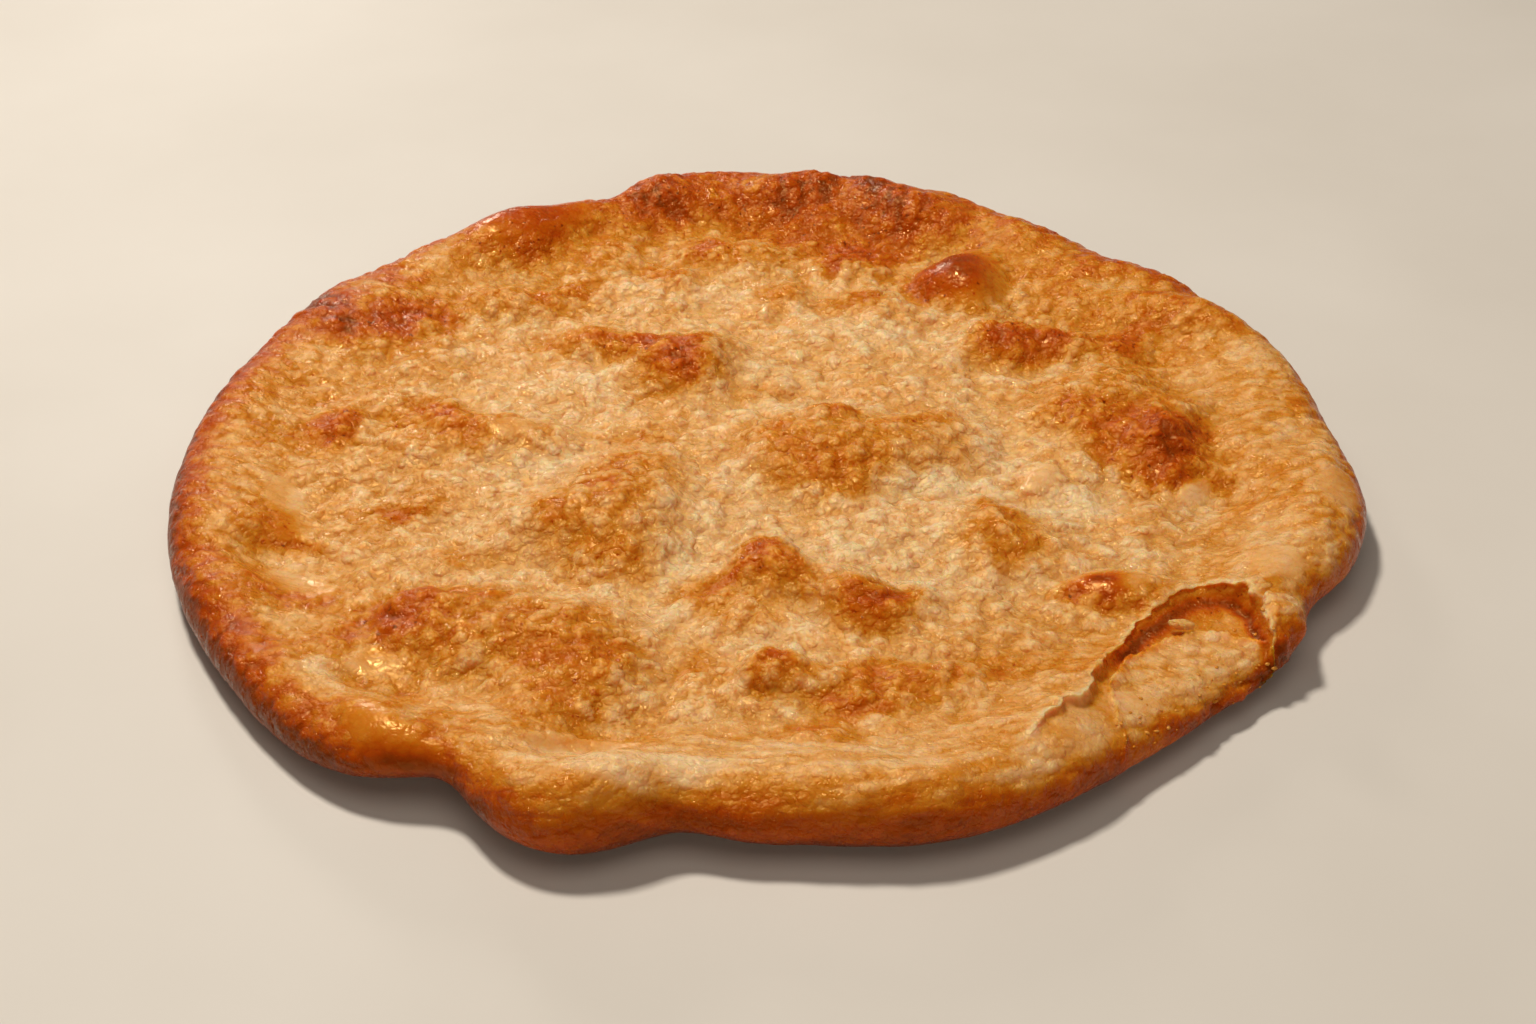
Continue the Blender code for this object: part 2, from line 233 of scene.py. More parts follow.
def crest_height(angle):
    return RIM_HEIGHT + wave(angle, CREST_WAVES)


def wander(x, y):
    """The places the blisters' outlines are drawn from, so that none is a plain oval."""
    return (
        x + WARP * value_noise(x / WARP_LENGTH, y / WARP_LENGTH, SEED + 10),
        y + WARP * value_noise(x / WARP_LENGTH, y / WARP_LENGTH, SEED + 11),
    )


def oval(x, y, place):
    """1 at the middle of an oval (x, y, half length, half width, turn), 0 at its border, less outside."""
    ox, oy, length, width, turn = place[:5]
    c, s = math.cos(math.radians(turn)), math.sin(math.radians(turn))
    along, across = (x - ox) * c + (y - oy) * s, (y - oy) * c - (x - ox) * s
    return 1.0 - (along / length) ** 2 - (across / width) ** 2


def blister_height(x, y):
    total = np.zeros_like(x)
    x, y = wander(x, y)
    for place in BLISTERS:
        total += place[5] * np.clip(oval(x, y, place), 0.0, None) ** BLISTER_POWER
    return total


def whole_face(x, y):
    """Height of the upper face as if nothing had torn."""
    angle, reach = np.degrees(np.arctan2(y, x)), np.hypot(x, y)
    crest_at = outline(angle) - RIM_ROUND
    rise = smooth_step((reach - crest_at + RIM_SLOPE) / RIM_SLOPE)
    dish = MIDDLE_THICKNESS + (crest_height(angle) - MIDDLE_THICKNESS) * rise
    return dish + blister_height(x, y) + unevenness(x, y)


def smooth_line(rows):
    """A curve through the rows, with their other columns carried along."""
    p = np.array(rows, float)
    p = np.vstack([2 * p[0] - p[1], p, 2 * p[-1] - p[-2]])
    line = []
    for a, b, c, d in zip(p, p[1:], p[2:], p[3:]):
        for t in np.arange(LINE_SAMPLES) / LINE_SAMPLES:
            bend, twist = 2 * a - 5 * b + 4 * c - d, 3 * b - a - 3 * c + d
            line.append(0.5 * (2 * b + (c - a) * t + bend * t**2 + twist * t**3))
    line.append(p[-2])
    return np.array(line)


def from_line(x, y, line):
    """Distance, positive on the line's right; direction to the right; way along it; other columns there."""
    best = np.full(x.shape, np.inf)
    side, way = np.zeros_like(x), np.zeros_like(x)
    facing, carried = np.zeros(x.shape + (2,)), np.zeros(x.shape + (line.shape[1] - 2,))
    gone = 0.0
    for start, end in zip(line, line[1:]):
        dx, dy = end[:2] - start[:2]
        length = math.hypot(dx, dy)
        t = np.clip(((x - start[0]) * dx + (y - start[1]) * dy) / length**2, 0.0, 1.0)
        gap = np.hypot(x - start[0] - t * dx, y - start[1] - t * dy)
        nearer = gap < best
        best = np.where(nearer, gap, best)
        turn = dx * (y - start[1]) - dy * (x - start[0])
        side = np.where(nearer, np.where(turn < 0, 1.0, -1.0), side)
        way = np.where(nearer, gone + length * t, way)
        carried[nearer] = (start[2:] + (end[2:] - start[2:]) * t[..., None])[nearer]
        facing[nearer] = (dy / length, -dx / length)
        gone += length
    return best * side, facing, way, carried


def ledge_face(x, y, whole):
    left, middle = LEDGE_LEFT
    rise = LEDGE_RISE * smooth_step((middle - x) / (middle - left))
    return np.minimum(LEDGE_HEIGHT + rise + 0.4 * unevenness(x, y), whole)


def torn_face(x, y):
    """The upper face with the tear: x and y shifted to the torn edges, height, and the tear's masks."""
    away, facing, way, (drop, wall_reach) = unpacked(from_line(x, y, smooth_line(LIP)))
    torn = smooth_step(drop / 1.2)
    teeth = layered_noise(way, 0 * way, TEETH_LENGTH, 3, SEED + 30)
    away = away + LIP_TEETH * torn * teeth * np.exp(-((away / 6) ** 2))

    back = np.clip(-away, 0.0, None)
    drawn = np.where(back < LIP_PULL, back * (0.3 + 0.7 * back / LIP_PULL), back)
    run = WALL_RUN * wall_reach
    share = np.clip(away / run, 0.0, None)
    on_wall = (away > 0) & (share < 1)
    out = np.interp(share, SECTION_SHARE, SECTION_LENGTH) * np.clip(drop / 5.0, 0.2, 1.0)
    out += np.interp(share, SECTION_SHARE, SECTION_REACH) * wall_reach
    beyond = away - run
    squeezed = wall_reach + beyond * (LIP_PULL + run - wall_reach) / LIP_PULL
    squeezed = np.where(beyond < LIP_PULL, squeezed, away)
    target = np.where(away < 0, -drawn, np.where(on_wall, out, squeezed))
    shift = (target - away) * torn
    target = away + shift
    new_x, new_y = x + facing[..., 0] * shift, y + facing[..., 1] * shift

    ahead = np.where(on_wall, target, 0.0)
    upper = whole_face(new_x - facing[..., 0] * ahead, new_y - facing[..., 1] * ahead)
    upper += LIP_CURL * torn * np.exp(-((np.minimum(target, 0.0) / 2.5) ** 2))
    here = whole_face(new_x, new_y)
    past, _, edge_way, _ = from_line(new_x, new_y, smooth_line(LEDGE_EDGE))
    past = past + EDGE_TEETH * layered_noise(edge_way, 0 * way, TEETH_LENGTH, 3, SEED + 33)
    bare = smooth_step((0.25 - past) / 0.5) * smooth_step(drop / 1.4)
    curl = EDGE_CURL * np.exp(-((past - 0.4) / 0.9) ** 2) * (1 - bare) * smooth_step(drop / 2.0)
    ledge = ledge_face(new_x, new_y, here) - BARE_DIP * bare * smooth_step((drop + 1.0) / 4.0) + curl
    fall = np.where(on_wall, np.interp(share, SECTION_SHARE, SECTION_FALL), 1.0)
    low = smooth_step(drop / 2.6)
    deep = smooth_step((drop - 2.6) / 2.0)
    floor = here + (upper + (ledge - upper) * fall - here) * low
    height = np.where(away > 0, floor, upper)
    ahead_of_lip = smooth_step((away - 0.3) / 0.6) * torn
    wall, bare = ahead_of_lip * smooth_step((1.1 - share) / 0.2), ahead_of_lip * bare
    marks = {
        "away": away, "way": way, "past": past, "edge_way": edge_way, "torn": torn, "deep": deep,
        "wall": wall, "bare": bare, "bared": np.maximum(wall, bare),
        "crease": ahead_of_lip * deep * np.exp(-(((share - 0.72) / 0.27) ** 2)) * (share < 2.0),
        "ledge": torn * smooth_step((past - 0.3) / 1.0) * (away > 0),
    }
    return new_x, new_y, height, marks


def unpacked(found):
    """The carried columns of from_line as separate arrays."""
    away, facing, way, carried = found
    return away, facing, way, (np.clip(carried[..., 0], 0.0, None), np.clip(carried[..., 1], 1.0, None))


def under_face(x, y):
    angle, reach = np.degrees(np.arctan2(y, x)), np.hypot(x, y)
    out = smooth_step((reach - FLAT_RADIUS) / (outline(angle) - FLAT_RADIUS))
    return out * (RIM_LIFT + wave(angle, LIFT_WAVES))


# ---------------------------------------------------------------- laying out the skin as a flat disc

def ring_angles(reach, spacing, turn):
    count = 6 * max(1, round(2 * math.pi * reach / spacing / 6))
    return (np.arange(count) + turn) * 360.0 / count


def laid_out_rings():
    """Rings of points (x, y) of the flat skin, and the turn of each ring's first point."""
    over, below = RIM_ROUND * math.pi / 2, UNDER_ROUND * math.pi / 2
    count = round((RADIUS - RIM_ROUND + over) / SPACING)
    rings = []
    for k in range(1, count + 1):
        along = k / count
        angle = ring_angles(min(along * (RADIUS - RIM_ROUND + over), RADIUS), SPACING, 0.5 * (k % 2))
        rings.append((angle, along * (outline(angle) - RIM_ROUND + over)))
    edge_angle = rings[-1][0]
    for k in range(1, UNDER_TURNS + 1):
        rings.append((edge_angle, outline(edge_angle) - RIM_ROUND + over + below * k / UNDER_TURNS))
    count = round((RADIUS - UNDER_ROUND) / UNDER_SPACING)
    for k in range(1, count):
        left = 1 - k / count
        angle = ring_angles(left * (RADIUS - UNDER_ROUND), UNDER_SPACING, 0.5 * (k % 2))
        edge = outline(angle)
        rings.append((angle, edge - RIM_ROUND + over + below + (edge - UNDER_ROUND) * (1 - left)))
    return rings


def stitched(inner, outer, inner_angle, outer_angle):
    """Triangles between two rings of point numbers, walking round both by direction."""
    faces, i, j = [], 0, 0
    n, m = len(inner), len(outer)
    first = list(inner_angle) + [inner_angle[0] + 360.0, 999.0]
    second = list(outer_angle) + [outer_angle[0] + 360.0, 999.0]
    while i < n or j < m:
        if j >= m or (i < n and first[i + 1] <= second[j + 1]):
            faces.append((inner[i], outer[j % m], inner[(i + 1) % n]))
            i += 1
        else:
            faces.append((inner[i % n], outer[j], outer[(j + 1) % m]))
            j += 1
    return faces


def laid_out_skin():
    """The flat skin as a mesh, finer beside the tear: (points, faces)."""
    rings = laid_out_rings()
    points, members = [(0.0, 0.0)], []
    for angle, run in rings:
        first = len(points)
        a = np.radians(angle)
        points.extend(zip(run * np.cos(a), run * np.sin(a)))
        members.append(list(range(first, len(points))))
    ring = members[0]
    faces = [(0, ring[n], ring[(n + 1) % len(ring)]) for n in range(len(ring))]
    for (a, b), (ra, rb) in zip(zip(members, members[1:]), zip(rings, rings[1:])):
        faces += stitched(a, b, ra[0], rb[0])
    mesh = bpy.data.meshes.new("flat_skin")
    mesh.from_pydata([(x, y, 0.0) for x, y in points], [], faces)

    at = np.array(points)
    away, _, _, (drop, _) = unpacked(from_line(at[:, 0], at[:, 1], smooth_line(LIP)))
    past = from_line(at[:, 0], at[:, 1], smooth_line(LEDGE_EDGE))[0]
    close = ((np.abs(away) < TEAR_ZONE) | ((np.abs(past) < EDGE_ZONE) & (away > 0))) & (drop > 0.1)
    fine = bmesh.new()
    fine.from_mesh(mesh)
    fine.verts.ensure_lookup_table()
    edges = [e for e in fine.edges if close[e.verts[0].index] and close[e.verts[1].index]]
    bmesh.ops.subdivide_edges(fine, edges=edges, cuts=1, use_grid_fill=True)
    bmesh.ops.triangulate(fine, faces=[f for f in fine.faces if len(f.verts) > 3])
    fine.verts.index_update()
    points = np.array([v.co[:2] for v in fine.verts])
    faces = [tuple(v.index for v in f.verts) for f in fine.faces]
    faces.append(tuple(reversed(members[-1])))
    fine.free()
    bpy.data.meshes.remove(mesh)
    return points, faces


def wrapped(flat_x, flat_y):
    """The flat skin wrapped round the dough: points (x, y, z) and masks for the finish."""
    angle, run = np.degrees(np.arctan2(flat_y, flat_x)), np.hypot(flat_x, flat_y)
    edge = outline(angle)
    inner = edge - RIM_ROUND
    over, below = RIM_ROUND * math.pi / 2, UNDER_ROUND * math.pi / 2
    bend = np.clip((run - inner) / RIM_ROUND, 0.0, math.pi / 2)
    tuck = np.clip((run - inner - over) / UNDER_ROUND, 0.0, math.pi / 2)
    back = np.clip(run - inner - over - below, 0.0, None)
    c, s = np.cos(np.radians(angle)), np.sin(np.radians(angle))

    reach = np.minimum(run, inner) + RIM_ROUND * np.sin(bend)
    x, y, top, marks = torn_face(reach * c, reach * s)
    widest = (RIM_LIFT + wave(angle, LIFT_WAVES)) * 0.5 + top * WIDEST_LEVEL
    z = widest + (top - widest) * np.cos(bend)

    low_reach = edge - UNDER_ROUND * (1 - np.cos(tuck)) - back
    low_x, low_y = low_reach * c, low_reach * s
    under = under_face(low_x, low_y)
    low_z = np.where(back > 0, under, widest + (under - widest) * np.sin(tuck))
    below_edge = tuck > 0
    points = np.stack(
        [np.where(below_edge, low_x, x), np.where(below_edge, low_y, y), np.where(below_edge, low_z, z)], -1
    )
    masks = {
        "angle": angle, "inside": edge - reach, "bend": bend, "tuck": tuck, "under": smooth_step(back / 6.0),
        "low_run": UNDER_ROUND * tuck + back, "low_x": low_x, "low_y": low_y,
    }
    return points, masks | marks


def point_normals(points, faces):
    tri = np.array([f for f in faces if len(f) == 3])
    a, b, c = points[tri[:, 0]], points[tri[:, 1]], points[tri[:, 2]]
    n = np.cross(b - a, c - a)
    total = np.zeros_like(points)
    for k in range(3):
        np.add.at(total, tri[:, k], n)
    return total / np.maximum(np.linalg.norm(total, axis=1, keepdims=True), 1e-9)


# ---------------------------------------------------------------- fine relief

# smooth glassy patches where the skin is drawn thin: (x, y, half length, half width, turn)
WINDOWS = [
    (46, 66, 12, 11, 0), (-49, 88, 15, 10, 30), (-62, -63, 4, 3, -35), (-80, -41, 7, 4, -40),
    (-85, -14, 5, 7, 20), (-82, -23, 4, 5, 0), (-27, -86, 8, 4, 0), (62, -43, 8, 6, 0),
    (-58, -90, 14, 8, -35), (62, -77, 5, 4, 40), (51, -82, 5, 3, 40), (90, -40, 6, 5, 0),
    (108, -16, 6, 7, 0), (83, -14, 5, 3, 40), (-46, 6, 4, 4, 0), (53, -8, 4, 3, 0),
]
# where the skin has crumpled: (x, y, half length, half width, turn)
CRUMPLED = [(90.5, -57.5, 9.5, 5.5, -70), (80, -73, 12, 3.5, 38)]

# each is a width and a height
LUMPS = (4.9, 0.98)              # the crumb's larger bubbles
PEBBLES = (2.5, 0.42)            # the small ones on and between them
RIPPLES = (2.6, 0.46)            # of the rim's drawn skin
SWELLS = (9.0, 0.14)
CRUMPLES = (3.4, 0.75)
TEAR_FOLDS = (1.3, 0.34)         # the fine folds that run into the tear
UNDER_DENTS = (8.0, 0.5)         # the hollows of the under face

BUBBLE_LEVEL = 0.6               # the height of bubbles() that stays where the skin was
RIPPLE_STRETCH = 1.7             # the ripples are this much longer than they are wide
RIPPLE_TURNS = (-14.0, 24.0)     # their direction at the left and at the right
RIPPLE_PATCHES = 16.0            # width of the patches in which they are weaker or stronger
FOLD_RUN = 9.0                   # the folds keep their place over this distance from the tear


def bubbles(x, y, size, seed):
    """Round bubbles side by side, each of its own width: from 0 between them to about 1 on top."""
    wide, fine = size * 1.1, size * 0.45

    def shift(k):
        coarse = 0.34 * gradient_noise(x / wide, y / wide, seed + k)
        return size * (coarse + 0.14 * gradient_noise(x / fine, y / fine, seed + k))

    near, tag = cells((x + shift(3)) / size, (y + shift(5)) / size, seed + 2)
    radius = 0.50 + 0.18 * tag
    return (0.8 + 0.2 * tag) * np.sqrt(np.clip(1.0 - (near / radius) ** 2, 0.0, None))


def glassy_share(x, y):
    share = np.zeros_like(x)
    for place in WINDOWS:
        share = np.maximum(share, smooth_step(oval(*wander(x, y), place) / 0.5))
    return share


def ripple_pattern(x, y):
    """Bubbles drawn out along the rim's skin, in a direction that turns from left to right."""
    left, right = RIPPLE_TURNS
    turn = np.radians(left + (right - left) * smooth_step((x + 60.0) / 120.0))
    along, across = x * np.cos(turn) + y * np.sin(turn), y * np.cos(turn) - x * np.sin(turn)
    return bubbles(along / RIPPLE_STRETCH, across, RIPPLES[0], SEED + 60)


def tear_folds(masks):
    """Height of the folds beside the torn edges, and how far the skin is drawn into them."""
    away, past = masks["away"], masks["past"]
    width, height = TEAR_FOLDS
    on_ledge = masks["ledge"] * np.exp(-np.clip(past, 0, None) / 5.0)
    at_lip = height * value_noise(masks["way"] / width, away / FOLD_RUN, SEED + 66)
    at_ledge = height * value_noise(masks["edge_way"] / width, past / FOLD_RUN, SEED + 67)
    drawn = np.exp(-np.clip(np.abs(away) - 2.0, 0, None) / 6.0) * masks["torn"]
    drawn = np.maximum(drawn, on_ledge) * (1 - masks["bared"])
    return at_lip * (1 - on_ledge) + on_ledge * at_ledge, drawn


def relief(x, y, masks):
    """Height of the fine relief, how high each point lies among its bubbles, and the glassy share."""
    middle, bared = smooth_step((masks["inside"] - 10.0) / 24.0), masks["bared"]
    lumps = bubbles(x, y, LUMPS[0], SEED + 50) - BUBBLE_LEVEL
    pebbles = bubbles(x, y, PEBBLES[0], SEED + 55) - BUBBLE_LEVEL
    ripples = ripple_pattern(x, y) - BUBBLE_LEVEL
    patches = smooth_step(0.6 + 0.8 * layered_noise(x, y, RIPPLE_PATCHES, 2, SEED + 63))

    smooth = glassy_share(x, y)
    on_side = smooth_step((np.clip(masks["bend"] / 1.4, 0, 1) - 0.5) / 0.5)
    plain = 1.0 - np.maximum(0.9 * smooth, np.maximum(0.85 * bared, 0.8 * on_side))
    folds, drawn = tear_folds(masks)
    bulge, pebble, ripple = LUMPS[1] * lumps, PEBBLES[1] * pebbles, RIPPLES[1] * ripples
    grain = middle * (bulge + pebble) + (1 - middle) * (patches * ripple + 0.45 * pebble + 0.3 * bulge)
    height = plain * grain * (1 - 0.6 * drawn) + folds * drawn
    height += SWELLS[1] * layered_noise(x, y, SWELLS[0], 2, SEED + 65)
    for place in CRUMPLED:
        crumpled = smooth_step(oval(*wander(x, y), place) / 0.4) * (1 - bared)
        height += CRUMPLES[1] * crumpled * layered_noise(x, y, CRUMPLES[0], 3, SEED + 68)
    # how high each point stands among its bubbles, used for the painted highlight on their tops and the
    # painted shade between them
    high = 2.0 * plain * (middle * (lumps + pebbles) + (1 - middle) * ripples)
    return height, np.clip(high, -1, 1), smooth


def dented_below(height, masks):
    """The relief's height, with shallow hollows in its place on the under face."""
    width, depth = UNDER_DENTS
    hollow = smooth_step(0.5 + layered_noise(masks["low_x"], masks["low_y"], width, 3, SEED + 69))
    return height * (1 - masks["under"]) - depth * hollow * masks["under"]


# ---------------------------------------------------------------- how far each place has fried, with painted shade and highlights

# Browning runs from 0, pale dough, to 1, dark brown. Painted shade is added to it as more browning, and
# painted highlights as less.
# (x, y, half length, half width, turn, browning)
TOASTED = [
    # on the mounds of the middle
    (-30, -13, 11, 7, 8, 0.16), (-30, -22, 14, 9, 0, 0.06), (-28, -37, 15, 8, 0, 0.12),
    (14, 13, 7, 5, 0, 0.24), (29, 10, 11, 9, 0, 0.12), (13, -7, 15, 10, 0, 0.12), (2, 5, 11, 9, 0, 0.13),
    (2, 22, 8, 5, 0, 0.12), (81, 0, 9, 13, 0, 0.32), (75, -8, 8, 6, 0, 0.14), (66, 9, 13, 11, 0, 0.18),
    (54, 14, 12, 9, 0, 0.12), (42, -19, 6, 5, 0, 0.20), (49, -21, 7, 5, 0, 0.14), (43, -31, 14, 9, 0, 0.12),
    (-19, 36, 13, 8, 0, 0.24), (-29, 38, 11, 7, 0, 0.20), (-13, 30, 11, 7, 0, 0.12),
    (-40, 43, 12, 7, 0, 0.14), (54, 42, 13, 11, 0, 0.26), (73, 40, 10, 8, 0, 0.20),
    (-64, 16, 13, 8, 0, 0.20), (-51, 9, 14, 9, 0, 0.16), (-80, 10, 6, 10, 0, 0.16),
    (-69, -15, 14, 7, 0, 0.12), (-50, -30, 10, 7, 0, 0.12), (-23, 20, 7, 4, 0, 0.14),
    (-22, 2, 7, 4, 0, 0.14), (53, -6, 8, 5, 0, 0.10), (-19, 27, 13, 7, 0, 0.18), (88, -16, 5, 9, 0, 0.16),
    (-28, 5, 10, 7, 0, 0.10), (-58, 12, 14, 8, 0, 0.06), (-82, 9, 7, 8, 0, 0.08),
    (-66, -15, 12, 6, 0, 0.12), (56, 24, 9, 6, 0, 0.10), (68, -2, 10, 6, 0, 0.10), (86, 2, 6, 9, 0, 0.08),
    (12, 7, 12, 8, 0, 0.06), (2, 22, 12, 8, 0, 0.08), (23, 38, 9, 6, 0, 0.08), (-49, -32, 9, 6, 0, 0.06),
    (-22, 47, 15, 5, 0, 0.10),
    # on the small steep ones, and at their foot
    (0, -36, 6, 5, 20, 0.26), (-4, -42, 5, 6, 0, 0.12), (3, -44, 9, 8, 0, 0.08), (21, -46, 9, 5, 20, 0.24),
    (19, -51, 9, 6, 0, 0.12), (5, -66, 5, 4, 0, 0.26), (5, -71, 6, 5, 0, 0.12), (43, 68, 15, 14, 0, 0.30),
    (-11, -44, 10, 9, 0, 0.12), (-4, -52, 11, 6, 0, 0.10), (-8, -70, 12, 9, 0, 0.08),
    (40, 69, 11, 10, 0, 0.12), (-12, -45, 9, 7, 0, 0.08), (-3, -53, 10, 7, 0, 0.10),
    (-9, -67, 10, 7, 0, 0.08), (-11, -44, 8, 8, 0, 0.10), (11, -46, 5, 5, 0, 0.08),
    (25, -47, 5, 5, 0, 0.08),
    # on the wide mound at the front left
    (-59, -46, 8, 8, 0, 0.14), (-66, -55, 9, 8, 0, 0.20), (-48, -46, 13, 6, 0, 0.14),
    (-51, -56, 11, 6, 0, 0.06), (-24, -66, 9, 7, 0, 0.12), (-36, -56, 14, 7, 0, 0.06),
    (-61, -70, 8, 6, 0, 0.12), (-67, -54, 6, 6, 0, 0.10), (-60, -47, 8, 5, 0, 0.08),
    (-60, -51, 9, 8, 0, 0.06),
    # on the rim and the low swellings beside it
    (-87, 50, 7, 12, 0, 0.30), (-74, 48, 10, 11, 0, 0.26), (-64, 55, 9, 10, 0, 0.24),
    (-93, 57, 6, 8, 0, 0.20), (-76, 64, 7, 6, 0, 0.18), (-50, 86, 13, 14, 30, 0.20),
    (-22, 97, 12, 13, 0, 0.22), (4, 96, 14, 13, 0, 0.24), (24, 88, 13, 13, 0, 0.24),
    (9, 84, 19, 9, 0, 0.10), (24, 102, 12, 8, -20, 0.16), (-39, 61, 9, 7, 0, 0.16),
    (-20, 70, 6, 6, 0, 0.18), (-9, 80, 8, 8, 0, 0.10), (3, 62, 10, 7, 0, 0.16), (18, 55, 11, 8, 0, 0.12),
    (15, 72, 7, 5, 0, 0.12), (83, 66, 18, 8, -35, 0.06), (84, 52, 12, 4, -25, 0.08),
    (38, 93, 12, 9, -25, 0.14), (-86, -27, 8, 13, 0, 0.10), (-85, -42, 9, 9, 0, 0.12),
    (-87, 40, 7, 8, 0, 0.14), (20, 79, 10, 12, 0, 0.12), (21, 56, 9, 7, 0, 0.10), (20, 80, 12, 12, 0, 0.08),
    (-89, 44, 7, 8, 0, 0.10), (-81, -24, 6, 8, 0, 0.10), (-79, -46, 8, 4, -30, 0.12),
    (-81, -63, 22, 5, -42, 0.10), (-45, -101, 22, 4, -20, 0.10),
    # at the front and beside the tear
    (59, -43, 12, 6, 10, 0.18), (60, -44, 5, 4, 0, 0.16), (22, -69, 12, 5, 5, 0.18),
    (19, -76, 12, 5, 5, 0.16), (9, -83, 11, 4, 5, 0.16), (38, -67, 13, 4, 0, 0.04),
    (-27, -85, 9, 4, 0, 0.06), (90, -66, 8, 6, 0, 0.20), (59, -47, 10, 5, 0, 0.24),
    (66, -48, 10, 5, 0, 0.10), (75, -80, 14, 5, 35, 0.24), (87, -70, 9, 5, 40, 0.20),
    # paler places between the mounds
    (-16, -22, 8, 8, 0, -0.10), (8, -32, 7, 9, 0, -0.10), (37, -12, 14, 7, 0, -0.12),
    (61, -16, 10, 6, 0, -0.12), (80, -16, 10, 6, 0, -0.10), (-37, -4, 9, 6, 0, -0.08),
    (-78, -14, 8, 8, 0, -0.08), (37, -73, 12, 6, 0, -0.10), (-83, -35, 8, 6, 0, -0.08),
    (-68, -72, 7, 5, -40, -0.10), (-36, -88, 12, 7, 0, -0.14), (12, -88, 16, 6, 0, -0.10),
    (49, -88, 8, 9, 0, -0.12), (-69, -72, 8, 6, -40, -0.08), (0, -80, 22, 5, 0, -0.08),
    (60, -14, 12, 7, 0, -0.06), (85, -14, 8, 6, 0, -0.08), (37, -11, 12, 6, 0, -0.06),
    (-45, -74, 14, 9, 0, -0.08), (-65, -66, 9, 6, 0, -0.12),
    # paler places on top of the rim
    (-20, -97, 30, 9, 0, -0.15), (24, -97, 26, 7, 6, -0.08), (50, -92, 14, 6, 28, -0.08),
    (101, 25, 10, 17, 15, -0.10), (-60, -84, 16, 6, -38, -0.06), (-83, -52, 9, 6, -35, -0.08),
    (-19, -99, 16, 7, 0, -0.14), (94, -54, 9, 10, 0, -0.22), (104, 0, 8, 22, 0, -0.07),
    (-87, -62, 8, 6, -40, -0.08), (47, -96, 9, 5, 25, -0.10), (-26, -107, 12, 4, 0, -0.10),
]
TOASTING = 1.1                   # share of these amounts that the skin takes
RAGGED = (5.0, 2.0)              # their outlines wander over this length and by this much more

# over the rim, and over its outermost edge: (direction, half width, browning)
RIM_TOAST = [(85, 34, 0.22), (38, 22, 0.05), (150, 30, 0.04), (-140, 25, 0.05), (-20, 12, -0.08)]
EDGE_TOAST = [
    (90, 34, 0.12), (40, 16, 0.12), (140, 26, 0.16), (180, 26, 0.23), (-145, 22, 0.18), (-10, 12, 0.04),
]

MIDDLE_TONE = 0.17
# browning that grows towards the outline: (amount, begins this far in from it, grows over this distance)
OUTWARD_TONES = [(0.19, 62.0, 50.0), (0.05, 16.0, 14.0)]
SIDE_TONE_AND_SHADE = 0.40                 # more on the rim's side: browning, and painted shade
TUCK_TONE_AND_SHADE = 0.34             # and more again where it tucks under: browning, and painted shade where it meets the table
UNDER_TONE = 0.47                # of the under face
UNDER_PATCHES = (21.0, 0.15)     # its patches' width, and how far they differ from it
CLOUDS = (13.0, 0.07)            # the same for the upper face
MOUND_TONE_AND_SHADE = 0.040               # browning and painted shade for each millimetre that the skin has puffed up
MOUND_SHADE_LEAN = 2.0                 # they are strongest this far in front of the highest point, so the painted shade lies on the front slope that faces away from the light
BUBBLE_LIGHT_AND_SHADE = 0.12               # painted highlight and painted shade: the tops of bubbles are paler by this, and the gaps between them browner

# in the tear
BARE_TONE = (0.06, 0.06)         # of the bared dough where it is shallow, and what the deep part adds
WALL_TONE = (0.08, 0.04)         # the same for the wall
CREASE_SHADE = 0.38               # painted shade at the foot of the wall
LEDGE_TONE = -0.10
LIP_HIGHLIGHT = -0.18                 # a painted highlight, paler, on the lip's drawn edge


# Tones of the tear, with painted shade in the crease at the wall's foot and a painted highlight on the lip's
# edge.
def tear_tone_and_light(masks):
    deep = masks["deep"]
    tone = (BARE_TONE[0] + BARE_TONE[1] * deep) * masks["bare"]
    tone += (WALL_TONE[0] + WALL_TONE[1] * deep) * masks["wall"]
    tone += CREASE_SHADE * masks["crease"] + LEDGE_TONE * masks["ledge"]
    return tone + LIP_HIGHLIGHT * masks["torn"] * np.exp(-(((masks["away"] + 0.9) / 1.1) ** 2))


